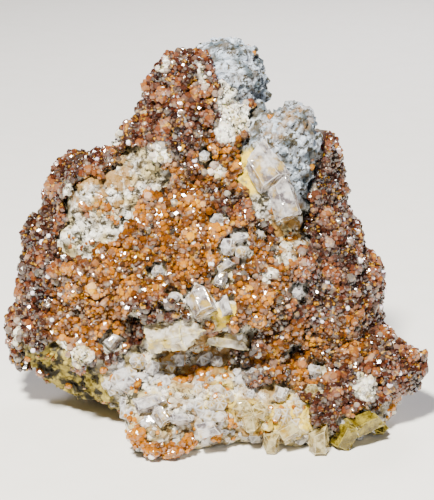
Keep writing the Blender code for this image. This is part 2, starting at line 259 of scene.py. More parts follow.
@dataclass(frozen=True)
class Film:
    """A colour that lies over the body of a finish, in clouds, where the piece is marked, or both."""

    colour: str
    clouds: Clouds | None = None
    mark: Mark | None = None
    meeting: Meeting = Meeting.INSIDE

    def laid(self, tree: NodeTree, base: Node) -> Node:
        """Lays the film over a colour.

        Args:
            tree: The material's node tree.
            base: The node that gives the colour below.

        Returns:
            The node that gives the colour with the film on it.
        """
        shares = [self.clouds.drawn(tree)] if self.clouds else []
        if self.mark:
            shares.append(out(add(tree, "ShaderNodeAttribute", {"attribute_name": self.mark.value}), "Fac"))
        share = shares[0]
        if len(shares) > 1:
            share = add(tree, "ShaderNodeMath", {"operation": self.meeting.value}, dict(enumerate(shares)))
        return add(tree, "ShaderNodeMix", COLOURS, {"Factor": share, "A": base, "B": linear(self.colour)})


@dataclass(frozen=True)
class Finish(ABC):
    """A finish: one real material, and how its surface was made."""

    name: str

    @abstractmethod
    def dress(self, tree: NodeTree, shader: Node) -> None:
        """Adds the finish's nodes to a new material's tree."""

    @cache
    def material(self) -> Material:
        """Makes the finish's material, once.

        Returns:
            The material.
        """
        made = bpy.data.materials.new(self.name)
        made.use_nodes = True
        self.dress(made.node_tree, made.node_tree.nodes["Principled BSDF"])
        return made


@dataclass(frozen=True)
class ChalkyRock(Finish):
    """Bleached, crumbly host rock, broken by hand.

    Its loose grains scatter all light, so it is matt and chalk white, with dark pits and with buff, yellow
    and olive films; bluish grey painted shade lies in places and darker painted shade in its creases. Its
    grains of about 0.2 mm would be one pixel wide, so they are drawn three times as coarse.
    """

    white: Stops = ((0.3, "F6F5F1"), (0.75, "DDD6C2"))
    # painted shade: the bluish white of the rock's shaded parts
    painted_shade_white: Stops = ((0.3, "C2D0E2"), (0.75, "C3CBD5"))
    white_swells: Clouds = Clouds(1.0)
    clouds: Clouds = Clouds(3.5, 5, 0.65, 0.42, 0.60)
    cream: str = "BFAE7C"
    # painted shade: grey clouds on that bluish white
    painted_shade_grey: str = "4C5860"
    films: tuple[Film, ...] = (
        Film("2E2A1A", Clouds(1.3, 5, 0.75, 0.50, 0.58)),
        # painted shade darkening the creases between the chips
        Film("4A3A1A", mark=Mark.CREASE),
        Film("8A6424", Clouds(2.0, 4, start=0.42, full=0.56), Mark.BUFF),
        Film("DDBE2E", Clouds(1.4, 4, start=0.30, full=0.52), Mark.STAIN))
    olive: Stops = ((0.3, "7C6A18"), (0.7, "BCA954"))
    olive_swells: Clouds = Clouds(0.9)
    olive_dark: Film = Film("261F06", Clouds(2.4, 4, start=0.44, full=0.58))
    grain: Clouds = Clouds(0.6, 5, 0.7)
    grain_height: float = 0.35 * MM
    roughness: float = 0.85

    def dress(self, tree: NodeTree, shader: Node) -> None:
        """Adds white with cream clouds, or a bluish painted shade with grey clouds, painted shade in the
        creases, pits and films, and olive where it is marked.

        Args:
            tree: The new material's node tree.
            shader: Its surface shader.
        """
        # the second body, laid where the bluish painted shade is marked, is painted shade
        warm, painted_cold_shade = (Film(dark, self.clouds).laid(tree, self.white_swells.coloured(tree, pale))
                      for pale, dark in ((self.white, self.cream), (self.painted_shade_white, self.painted_shade_grey)))
        cool, stained = (out(add(tree, "ShaderNodeAttribute", {"attribute_name": m.value}), "Fac")
                         for m in (Mark.COOL, Mark.OLIVE))
        base = add(tree, "ShaderNodeMix", COLOURS, {"Factor": cool, "A": warm, "B": painted_cold_shade})
        for film in self.films:
            base = film.laid(tree, base)
        olive = self.olive_dark.laid(tree, self.olive_swells.coloured(tree, self.olive))
        base = add(tree, "ShaderNodeMix", COLOURS, {"Factor": stained, "A": base, "B": olive})
        rough = add(tree, "ShaderNodeBump", inputs={
            "Strength": 0.9, "Distance": self.grain_height, "Height": self.grain.drawn(tree)})
        join(tree, shader, {"Base Color": base, "Roughness": self.roughness, "Normal": rough})


@dataclass(frozen=True)
class DruseGarnet(Finish):
    """Garnet in small crystals, with faces as they grew.

    The faces are glassy and take small, hard highlights, over a warm and slightly cloudy body that some
    light goes into. Yellow powder lies in its hollows. The steps on the faces are about 0.05 mm wide,
    and they are drawn ten times as wide, which is about three pixels.
    """

    # painted light and shade: amber stands for garnet where light falls fully, mauve brown for garnet under
    # grazing light with its bluish sheen; each top stop is a painted white highlight
    amber: Stops = ((0.0, "1C0E00"), (0.25, "603200"), (0.5, "905400"), (0.8, "B67600"),
                    (0.94, "D09C10"), (0.97, "EEE4DC"))
    mauve: Stops = ((0.0, "160704"), (0.3, "3C1A0C"), (0.6, "623218"), (0.85, "825028"),
                    (0.94, "9C7048"), (0.97, "E2D8E0"))
    films: tuple[Film, ...] = (
        Film("B0801C", Clouds(1.1, 4, start=0.56, full=0.72)),
        Film("EDE7D6", mark=Mark.FROST))
    gloss: Stops = ((0.35, "505050"), (0.7, "848484"))
    gloss_swells: Clouds = Clouds(1.0)
    steps: Clouds = Clouds(0.5)
    step_height: float = 0.08 * MM
    ior: float = 1.74
    glow: Point = (1.0, 0.42, 0.06)
    glow_share: float = 0.2
    glow_depth: float = 0.6 * MM

    def dress(self, tree: NodeTree, shader: Node) -> None:
        """Adds amber or mauve brown by place, as painted light and grazing shade, each crystal with its own
        shade and a few with a painted white highlight, and light inside it.

        Args:
            tree: The new material's node tree.
            shader: Its surface shader.
        """
        tint, tone = (out(add(tree, "ShaderNodeAttribute", {"attribute_name": m.value}), "Fac")
                      for m in (Mark.TINT, Mark.TONE))
        amber, mauve = (add(tree, "ShaderNodeValToRGB", inputs={"Fac": tint}, stops=stops)
                        for stops in (self.amber, self.mauve))
        base = add(tree, "ShaderNodeMix", COLOURS, {"Factor": tone, "A": amber, "B": mauve})
        for film in self.films:
            base = film.laid(tree, base)
        etched = add(tree, "ShaderNodeBump", inputs={
            "Strength": 0.4, "Distance": self.step_height, "Height": self.steps.drawn(tree)})
        join(tree, shader, {
            "Base Color": base, "Roughness": self.gloss_swells.coloured(tree, self.gloss), "IOR": self.ior,
            "Subsurface Weight": self.glow_share, "Subsurface Radius": self.glow,
            "Subsurface Scale": self.glow_depth, "Normal": etched})


@dataclass(frozen=True)
class Quartz(Finish):
    """Rock crystal with its faces as they grew.

    The faces are smooth and glassy, and the body is partly see-through. Veils and healed cracks cloud
    it, its edges carry a painted highlight, and its colour deepens where it is thick.
    """

    body: str = "746C70"
    veil: str = "F6F2F0"
    # painted highlight along the edges; on the stained kinds it is yellowed, as their rims are stained too
    rim: str = "FFFFFF"
    stain: str = "D8B450"
    clearness: float = 0.55
    gloss: float = 0.06
    ior: float = 1.54
    depth_colour: str = "E8DEDC"
    depth: float = 60.0
    veils: Clouds = Clouds(1.6, 4)
    veil_span: tuple[float, float] = (0.40, 0.60)
    stains: Clouds = Clouds(2.8, 5, 0.7, 0.47, 0.66)
    edge_highlight_span: tuple[float, float] = (0.3, 1.2)
    swells: Clouds = Clouds(1.6, 2)
    swell_height: float = 0.1 * MM

    def dress(self, tree: NodeTree, shader: Node) -> None:
        """Adds a see-through body with veils, a stain, a painted highlight along its edges and a light
        colour in its depth.

        Args:
            tree: The new material's node tree.
            shader: Its surface shader.
        """
        base = self.veils.coloured(tree, tuple(zip(self.veil_span, (self.body, self.veil))))
        base = Film(self.stain, self.stains, Mark.STAIN, Meeting.BESIDE).laid(tree, base)
        # painted highlight: the sharp edges turn towards the highlight colour
        edge = out(add(tree, "ShaderNodeAttribute", {"attribute_name": Mark.EDGE.value}), "Fac")
        painted_edge_highlight = add(tree, "ShaderNodeMapRange", EASED, {
            "Value": edge, "From Min": self.edge_highlight_span[0], "From Max": self.edge_highlight_span[1]})
        base = add(tree, "ShaderNodeMix", COLOURS, {"Factor": painted_edge_highlight, "A": base, "B": linear(self.rim)})
        uneven = add(tree, "ShaderNodeBump", inputs={
            "Strength": 0.3, "Distance": self.swell_height, "Height": self.swells.drawn(tree)})
        join(tree, shader, {"Base Color": base, "Roughness": self.gloss, "IOR": self.ior,
                            "Transmission Weight": self.clearness, "Normal": uneven})
        volume = add(tree, "ShaderNodeVolumeAbsorption", inputs={
            "Color": linear(self.depth_colour), "Density": self.depth})
        join(tree, tree.nodes["Material Output"], {"Volume": volume})


@dataclass(frozen=True)
class StudioPaper(Finish):
    """Matt, pale studio paper, pressed with a faint tooth.

    The tooth is finer than a pixel, so it is drawn as faint clouds of 6 mm.
    """

    shades: Stops = ((0.3, "E6E3DB"), (0.7, "E9E6DF"))
    tooth: Clouds = Clouds(6.0)
    roughness: float = 0.9

    def dress(self, tree: NodeTree, shader: Node) -> None:
        """Adds one pale colour with a faint tooth."""
        shade = self.tooth.coloured(tree, self.shades)
        join(tree, shader, {"Base Color": shade, "Roughness": self.roughness})


ROCK = ChalkyRock("chalky_host_rock")
GARNET = DruseGarnet("druse_garnet")
CLEAR = Quartz("rock_crystal")
STRAW = Quartz("straw_stained_quartz", body="84703A", veil="EADCA8", rim="EFE2B4", stain="C49A2C",
               depth_colour="E0CC80", depth=90)
MILKY = Quartz("cloudy_quartz", body="A89A80", veil="EDE7DA", rim="FBEFA0", stain="D8BC54", clearness=0.4,
               gloss=0.1, depth_colour="E0D29A", depth=80)
OLIVE = Quartz("olive_stained_quartz", body="5E4C08", veil="B4A03C", rim="C8B65C", stain="6E5C0C",
               depth_colour="B09C3A", depth=160)
PAPER = StudioPaper("studio_paper")


@dataclass(frozen=True)
class Patch:
    """A round patch on the show face: its place on the sheet, its radius and its strength."""

    across: float
    up: float
    radius: float
    strength: float = 1.0


@dataclass(frozen=True)
class Ball:
    """A ball of space, in mm, which marks the surfaces inside it."""

    centre: Vector
    radius: float
    strength: float = 1.0

    def at(self, point: Vector, soft: float = 0.35) -> float:
        """How strongly a point in metres is marked: its edge is soft over this share of the radius."""
        far = (point / MM - self.centre).length / self.radius
        return self.strength * smooth((1 - far) / soft)


@dataclass(frozen=True)
class Drift:
    """A value that drifts over a surface: its mean, its swing and the size of its swells in mm."""

    mean: float
    swing: float
    size: float

    def at(self, point: Vector) -> float:
        """The value at a point in metres."""
        return self.mean + self.swing * wander(point, self.size)


@dataclass(frozen=True)
class Sheet:
    """The sheet in mm that faces the eye in front of the specimen."""

    centre: Vector = Vector((0.77, -12.38, 33.11))
    rise: float = math.radians(19)
    distance: float = 300.0
    per_mm: float = 6.0

    def axes(self) -> tuple[Vector, Vector, Vector]:
        """Works out how the sheet stands.

        Returns:
            The directions across, up, and towards the eye.
        """
        towards = Vector((0, -math.cos(self.rise), math.sin(self.rise)))
        across = Vector((1, 0, 0))
        return across, towards.cross(across), towards

    def eye(self) -> Vector:
        """Where the eye is, in metres."""
        return (self.centre + self.axes()[2] * self.distance) * MM

    def seen(self, tree: BVHTree, across: float, up: float) -> Vector:
        """Finds what shows at a spot on the sheet.

        Args:
            tree: The surfaces that can be seen.
            across: The spot's place to the right of the sheet's middle, in mm.
            up: Its place above the middle, in mm.

        Returns:
            The point that shows there, or the nearest one, in metres.
        """
        right, rise, _ = self.axes()
        spot = (self.centre + right * across + rise * up) * MM
        point = tree.ray_cast(self.eye(), spot - self.eye())[0]
        return point if point is not None else tree.find_nearest(spot)[0]

    def balls(self, tree: BVHTree, patches: Iterable[Patch]) -> list[Ball]:
        """Balls around what shows at some patches, given the surfaces that can be seen."""
        return [Ball(self.seen(tree, p.across, p.up) / MM, p.radius, p.strength) for p in patches]


def strongest(balls: Iterable[Ball], point: Vector) -> float:
    """The strongest mark of any of the balls at a point."""
    return max((ball.at(point) for ball in balls), default=0.0)


def new_object(name: str, data: bpy.types.ID) -> Object:
    """Puts a new object in the scene.

    Args:
        name: Its name.
        data: Its mesh, light or camera.

    Returns:
        The object.
    """
    obj = bpy.data.objects.new(name, data)
    bpy.context.scene.collection.objects.link(obj)
    return obj


def as_mesh(obj: Object) -> Mesh:
    """Turns an object to a plain mesh, and removes the object with its modifiers.

    Args:
        obj: The object.

    Returns:
        Its evaluated mesh.
    """
    bpy.context.view_layer.update()
    graph = bpy.context.evaluated_depsgraph_get()
    mesh = bpy.data.meshes.new_from_object(obj.evaluated_get(graph))
    bpy.data.objects.remove(obj)
    return mesh


def merged_copy(names: Iterable[str]) -> Mesh:
    """Copies CAD nodes into one mesh, with their loose triangles sewn together.

    Args:
        names: The CAD nodes.

    Returns:
        The new mesh.
    """
    bm = bmesh.new()
    for name in names:
        bm.from_mesh(NODES[name].data)
    bmesh.ops.remove_doubles(bm, verts=bm.verts, dist=0.001 * MM)
    mesh = bpy.data.meshes.new("copy")
    bm.to_mesh(mesh)
    bm.free()
    mesh.materials.clear()
    return mesh


def even_skin(mesh: Mesh, voxel: float, smoothing: int = 0) -> Mesh:
    """Lays one even skin over a closed mesh.

    Args:
        mesh: The mesh to cover.
        voxel: The skin's grid, in metres.
        smoothing: How often the skin is smoothed.

    Returns:
        The skin.
    """
    obj = new_object("skin", mesh)
    remesh = obj.modifiers.new("skin", "REMESH")
    remesh.mode = "VOXEL"
    remesh.voxel_size = voxel
    if smoothing:
        ease = obj.modifiers.new("ease", "SMOOTH")
        ease.iterations = smoothing
    return as_mesh(obj)


def write_mark(mesh: Mesh, name: Mark, values: list[float]) -> None:
    """Writes an attribute, which has one value for each vertex."""
    held = mesh.attributes.get(name.value) or mesh.attributes.new(name.value, "FLOAT", "POINT")
    held.data.foreach_set("value", values)


def read_mark(mesh: Mesh, name: Mark) -> list[float]:
    """Reads an attribute, which has one value for each vertex."""
    return [item.value for item in mesh.attributes[name.value].data]


def mark(mesh: Mesh, name: Mark, rule: Rule) -> None:
    """Gives each vertex the value of a rule at its place in metres."""
    write_mark(mesh, name, [rule(v.co) for v in mesh.vertices])


def close_netted(mesh: Mesh, longest: float, passes: int = 6, sharp: float = math.radians(25)) -> Mesh:
    """Cuts a mesh's faces into small triangles, and marks the ends of its sharp edges, where a highlight is
    painted.

    Args:
        mesh: The mesh to cut.
        longest: The longest edge that stays whole, in metres.
        passes: How often long edges may be halved.
        sharp: The bend from which an edge is sharp.

    Returns:
        The same mesh.
    """
    bm = bmesh.new()
    bm.from_mesh(mesh)
    for _ in range(passes):
        long_edges = [e for e in bm.edges if e.calc_length() > longest]
        if not long_edges:
            break
        bmesh.ops.subdivide_edges(bm, edges=long_edges, cuts=1)
        bmesh.ops.triangulate(bm, faces=[f for f in bm.faces if len(f.verts) > 3])
    bm.verts.index_update()
    ends = {v.index for e in bm.edges if e.calc_face_angle(0) > sharp for v in e.verts}
    values = [1.0 if v.index in ends else 0.0 for v in bm.verts]
    bm.to_mesh(mesh)
    bm.free()
    write_mark(mesh, Mark.EDGE, values)
    return mesh


def tree_of(meshes: Iterable[Mesh]) -> BVHTree:
    """Makes a search tree over the faces of some meshes.

    Args:
        meshes: The meshes.

    Returns:
        The tree.
    """
    corners, faces = [], []
    for mesh in meshes:
        start = len(corners)
        corners += [v.co.copy() for v in mesh.vertices]
        faces += [[start + i for i in p.vertices] for p in mesh.polygons]
    return BVHTree.FromPolygons(corners, faces)


def raised(mesh: Mesh, rule: Rule) -> None:
    """Moves each vertex along its normal.

    Args:
        mesh: The mesh to change.
        rule: Gives the height at a point, both in metres.
    """
    places = [v.co.copy() for v in mesh.vertices]
    normals = [v.normal.copy() for v in mesh.vertices]
    moved = [c for place, normal in zip(places, normals) for c in place + normal * rule(place)]
    mesh.vertices.foreach_set("co", moved)
    mesh.update()


def kept_in_box(mesh: Mesh) -> None:
    """Holds every vertex inside the CAD model's box.

    Args:
        mesh: The mesh to hold.
    """
    places = [min(max(c, low), high)
              for v in mesh.vertices for c, low, high in zip(v.co, BOX_LOW, BOX_HIGH)]
    mesh.vertices.foreach_set("co", places)
    mesh.update()


def finished(name: str, mesh: Mesh, finish: Finish, stands_for: Iterable[str] = ()) -> None:
    """Makes a piece of the specimen from its mesh, and reports it.

    Args:
        name: The piece's name.
        mesh: Its mesh, with its place in it.
        finish: Its finish.
        stands_for: The CAD nodes that it replaces.
    """
    kept_in_box(mesh)
    mesh.name = name
    mesh.materials.clear()
    mesh.materials.append(finish.material())
    obj = new_object(name, mesh)
    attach(obj, "root")
    nodes = list(stands_for)
    if nodes:
        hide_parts(*nodes)
    mesh.calc_loop_triangles()
    LOG.info("%s: %d triangles", name, len(mesh.loop_triangles))


RING = [(math.cos(math.tau * i / 6), math.sin(math.tau * i / 6)) for i in range(6)]
CUBE = tuple((x, y, z) for x in (-1, 1) for y in (-1, 1) for z in (-1, 1))
TIPS = tuple(tuple(s if i == axis else 0 for i in range(3)) for axis in range(3) for s in (-1, 1))
BETWEEN = tuple(tuple(0 if i == axis else s if i == (axis + 1) % 3 else t for i in range(3))
                for axis in range(3) for s in (-1, 1) for t in (-1, 1))


def scaled(points: Points, by: float) -> Points:
    """The points at another distance from the middle."""
    return tuple(tuple(c * by for c in point) for point in points)


def prism(width: float, depth: float, shoulder: float, *tips: Point) -> Points:
    """The corners of a six-sided crystal: its foot at -1, its shoulder at this height, and its tips."""
    return tuple((width * a, depth * b, z) for a, b in RING for z in (-1, shoulder)) + tips


class Form(Enum):
    """Crystal forms by their corners, one unit from the middle, with +Z out of the rock."""

    DODECAHEDRON = scaled(CUBE, 0.5) + TIPS
    TRAPEZOHEDRON = scaled(CUBE, 0.62) + TIPS + scaled(BETWEEN, 0.73)
    STUB = prism(1, 1, 0.4, (0.12, -0.1, 1.15))
    TABLET = prism(0.8, 1.25, 0.3, (0.2, 0.5, 0.9), (-0.2, -0.4, 0.8))
    PRISM = prism(0.6, 0.6, 1.0, (0.05, 0.1, 1.7))
    CHIP = ((-0.9, -0.5, -0.5), (0.8, -0.7, -0.4), (0.6, 0.8, -0.6), (-0.5, 0.7, -0.3), (-0.5, -0.4, 0.6),
            (0.5, -0.3, 0.9), (0.2, 0.6, 0.4))

    def template(self) -> Object:
        """Makes one crystal of this form, a unit in size, as a flat-faced object to repeat.

        A quartz form has a point at the middle of each face, so that its edges can be marked for a painted
        highlight.

        Returns:
            The object.
        """
        bm = bmesh.new()
        made = [bm.verts.new(corner) for corner in self.value]
        bmesh.ops.convex_hull(bm, input=made)
        bmesh.ops.dissolve_limit(bm, angle_limit=math.radians(2), verts=bm.verts, edges=bm.edges)
        bmesh.ops.recalc_face_normals(bm, faces=bm.faces)
        corners = len(bm.verts)
        highlight_rimmed = self in (Form.STUB, Form.TABLET, Form.PRISM)
        if highlight_rimmed:
            bmesh.ops.poke(bm, faces=bm.faces)
        mesh = bpy.data.meshes.new(self.name.lower())
        bm.to_mesh(mesh)
        bm.free()
        write_mark(mesh, Mark.EDGE, [float(highlight_rimmed and i < corners) for i in range(len(mesh.vertices))])
        return new_object(self.name.lower(), mesh)


@dataclass(frozen=True)
class Growth:
    """Crystals that grow over a surface, scattered by Geometry Nodes.

    The surface carries a cover mark from 0 to 1, which says where they grow, and a size mark and a tint
    mark, which each crystal takes up. Lengths are in metres, and sink is a share of a crystal's radius.
    """

    forms: tuple[Form, ...]
    spacing: float
    smallest: float
    largest: float
    seed: int
    sink: float = 0.1
    lean: float = math.pi
    crowd: float = 4.0
    shade_swing: float = 0.15
    # crystals whose draw is above this level take a painted white highlight
    painted_glint_level: float = 0.988

    def tree(self, templates: list[Object], material: Material) -> NodeTree:
        """Builds the node tree.

        Args:
            templates: One object for each form.
            material: The crystals' material.

        Returns:
            The tree, with its sizes as named inputs.
        """
        tree = bpy.data.node_groups.new("crystal_growth", "GeometryNodeTree")
        tree.interface.new_socket("Geometry", in_out="INPUT", socket_type="NodeSocketGeometry")
        for name in ("Spacing", "Smallest", "Largest", "Sink", "Lean"):
            tree.interface.new_socket(name, in_out="INPUT", socket_type="NodeSocketFloat")
        tree.interface.new_socket("Seed", in_out="INPUT", socket_type="NodeSocketInt")
        tree.interface.new_socket("Geometry", in_out="OUTPUT", socket_type="NodeSocketGeometry")
        given = add(tree, "NodeGroupInput")
        seed = out(given, "Seed")
        cover, size, local = (add(tree, "GeometryNodeInputNamedAttribute", NUMBERS, {"Name": m.value})
                              for m in (Mark.COVER, Mark.SIZE, Mark.TINT))

        spread = add(tree, "GeometryNodeDistributePointsOnFaces", {"distribute_method": "POISSON"}, {
            "Mesh": out(given, "Geometry"), "Distance Min": out(given, "Spacing"),
            "Density Max": self.crowd / self.spacing**2, "Density Factor": cover, "Seed": seed})

        chance = add(tree, "FunctionNodeRandomValue", NUMBERS, {"Seed": seed})
        squared = add(tree, "ShaderNodeMath", {"operation": "POWER"}, {0: chance, 1: 2.0})
        even = add(tree, "ShaderNodeMapRange", inputs={
            "Value": squared, "To Min": out(given, "Smallest"), "To Max": out(given, "Largest")})
        radius = add(tree, "ShaderNodeMath", {"operation": "MULTIPLY"}, {0: even, 1: size})

        depth = add(tree, "ShaderNodeMath", {"operation": "MULTIPLY"}, {0: radius, 1: out(given, "Sink")})
        down = add(tree, "ShaderNodeVectorMath", {"operation": "SCALE"}, {
            "Vector": out(spread, "Normal"), "Scale": depth})
        seated = add(tree, "GeometryNodeSetPosition", inputs={
            "Geometry": out(spread, "Points"), "Offset": down})

        lean = add(tree, "FunctionNodeRandomValue", NUMBERS, {
            "Max": out(given, "Lean"), "Seed": Draw.LEAN.value})
        spin = add(tree, "FunctionNodeRandomValue", NUMBERS, {"Max": math.tau, "Seed": Draw.SPIN.value})
        angles = add(tree, "ShaderNodeCombineXYZ", inputs={"X": lean, "Z": spin})
        tilt = add(tree, "FunctionNodeEulerToRotation", inputs={"Euler": angles})
        turned = add(tree, "FunctionNodeRotateRotation", {"rotation_space": "LOCAL"}, {
            "Rotation": out(spread, "Rotation"), "Rotate By": tilt})

        shapes = [out(add(tree, "GeometryNodeObjectInfo", inputs={"Object": t, "As Instance": True}),
                      "Geometry") for t in templates]
        choice = add(tree, "GeometryNodeJoinGeometry", inputs={"Geometry": shapes})
        pick = add(tree, "FunctionNodeRandomValue", {"data_type": "INT"}, {
            "Min": 0, "Max": len(templates) - 1, "Seed": Draw.FORM.value})
        placed = add(tree, "GeometryNodeInstanceOnPoints", inputs={
            "Points": seated, "Instance": choice, "Pick Instance": True, "Instance Index": pick,
            "Rotation": turned, "Scale": radius})

        own = add(tree, "FunctionNodeRandomValue", NUMBERS, {
            "Min": -self.shade_swing, "Max": self.shade_swing, "Seed": Draw.SHADE.value})
        # the surface's tint, which on the druse holds painted light on the lump crowns and painted shade in
        # the creases, plus each crystal's own random shift
        shade = add(tree, "ShaderNodeMath", {"operation": "ADD"}, {0: local, 1: own})
        # a few crystals are pushed to the white top of the ramp as a painted highlight
        luck = add(tree, "FunctionNodeRandomValue", NUMBERS, {"Seed": Draw.GLINT.value})
        painted_glint = add(tree, "ShaderNodeMath", {"operation": "GREATER_THAN"}, {0: luck, 1: self.painted_glint_level})
        lit = add(tree, "ShaderNodeMath", {"operation": "ADD"}, {0: shade, 1: painted_glint})
        tinted = add(tree, "GeometryNodeStoreNamedAttribute", {"data_type": "FLOAT", "domain": "INSTANCE"}, {
            "Geometry": placed, "Name": Mark.TINT.value, "Value": lit})
        solid = add(tree, "GeometryNodeRealizeInstances", inputs={"Geometry": tinted})
        dressed = add(tree, "GeometryNodeSetMaterial", inputs={"Geometry": solid, "Material": material})
        add(tree, "NodeGroupOutput", inputs={"Geometry": dressed})
        return tree

    def over(self, surface: Mesh, finish: Finish) -> Mesh:
        """Grows the crystals over a surface.

        Args:
            surface: The marked surface.
            finish: The crystals' finish.

        Returns:
            All the crystals as one mesh.
        """
        templates = [form.template() for form in self.forms]
        tree = self.tree(templates, finish.material())
        obj = new_object("growth", surface.copy())
        grown = obj.modifiers.new("growth", "NODES")
        grown.node_group = tree
        values = {"Spacing": self.spacing, "Smallest": self.smallest, "Largest": self.largest,
                  "Sink": -self.sink, "Lean": self.lean, "Seed": self.seed}
        for item in tree.interface.items_tree:
            if item.in_out == "INPUT" and item.name in values:
                grown[item.identifier] = values[item.name]
        mesh = as_mesh(obj)
        for template in templates:
            bpy.data.objects.remove(template)
        return mesh


@dataclass
class HostRock:
    """The pale host rock: its rough skin, with stains on it."""

    sheet: Sheet
    voxel: float = 0.42 * MM
    swell: Drift = Drift(0.0, 0.6, 3.2)
    small_swell: Drift = Drift(0.0, 0.4, 1.2)
    relief: float = 0.6 * MM
    chip: float = 0.8 * MM
    chip_size: float = 2.4
    chip_level: float = 0.35
    pit_depth: float = 0.8 * MM
    pits: Drift = Drift(-0.2, 1.0, 1.7)
    pit_rim: float = 0.4
    pit_shift: Vector = Vector((5, 1, 2)) * MM
    # painted shade: how dark the creases between the chips are drawn
    painted_shade_strength: float = 0.85
    painted_shade_narrow: float = 3.2
    painted_shade_drift: Drift = Drift(0.6, 1.0, 2.0)
    stains: tuple[Patch, ...] = (
        Patch(4.6, 13.0, 5.0), Patch(11.5, 8.0, 3.5), Patch(3.5, -13.0, 6.0), Patch(-24.0, -17.0, 3.5, 0.7),
        Patch(8.0, -28.0, 5.0, 0.6), Patch(14.0, -27.0, 5.0, 0.8), Patch(1.0, -25.0, 4.0, 0.5),
        Patch(-10.0, -24.0, 3.5, 0.4))
    buff: tuple[Patch, ...] = (
        Patch(12.5, 3.5, 6.0), Patch(9.5, 21.0, 4.0, 0.4), Patch(-20.0, 12.0, 8.0, 0.9),
        Patch(13.5, 22.5, 3.5, 0.7), Patch(-3.0, -18.0, 9.0, 0.9), Patch(-8.0, -30.0, 9.0, 0.5),
        Patch(8.0, -28.0, 9.0, 0.7))
    # painted shade: balls where the rock is painted bluish grey
    painted_cold_shade: tuple[Ball, ...] = (Ball(Vector((6, 12, 58)), 14), Ball(Vector((14, 0, 46)), 12),
                              Ball(Vector((2, 22, 26)), 20, 0.7))
    underside: Ball = Ball(Vector((-27, -10, 4)), 13)
    underside_soft: float = 0.25

    def crag(self, place: Vector) -> float:
        """Works out the skin's height: swells, angular chips between ridges, and round pits.

        Args:
            place: A point on the rock's solid, in metres.

        Returns:
            The height there, in metres.
        """
        swell = self.swell.at(place) + self.small_swell.at(place)
        pit = smooth(self.pits.at(place + self.pit_shift) / self.pit_rim)
        chip = (inside(place, self.chip_size) - self.chip_level) * self.chip
        return swell * self.relief + chip - pit * self.pit_depth

    def crease(self, co: Vector) -> float:
        """How much painted shade lies at a place: most in the creases between the angular chips."""
        narrow = smooth(1 - inside(co, self.chip_size) * self.painted_shade_narrow)
        return self.painted_shade_strength * narrow * smooth(self.painted_shade_drift.at(co))

    def build(self, seen: BVHTree) -> Mesh:
        """Builds the rock: an even skin, roughened, pitted, and marked where it is stained, where it takes a
        bluish painted shade and where its creases take painted shade.

        Args:
            seen: The surfaces that can be seen.

        Returns:
            Its mesh, for what grows on it.
        """
        mesh = even_skin(merged_copy(["matrix"]), self.voxel)
        raised(mesh, self.crag)
        mark(mesh, Mark.CREASE, self.crease)
        for name, patches in ((Mark.STAIN, self.stains), (Mark.BUFF, self.buff)):
            balls = self.sheet.balls(seen, patches)
            mark(mesh, name, lambda co, balls=balls: strongest(balls, co))
        mark(mesh, Mark.OLIVE, lambda co: self.underside.at(co, self.underside_soft))
        mark(mesh, Mark.COOL, lambda co: strongest(self.painted_cold_shade, co))
        finished("host_rock", mesh, ROCK, ["matrix"])
        return mesh


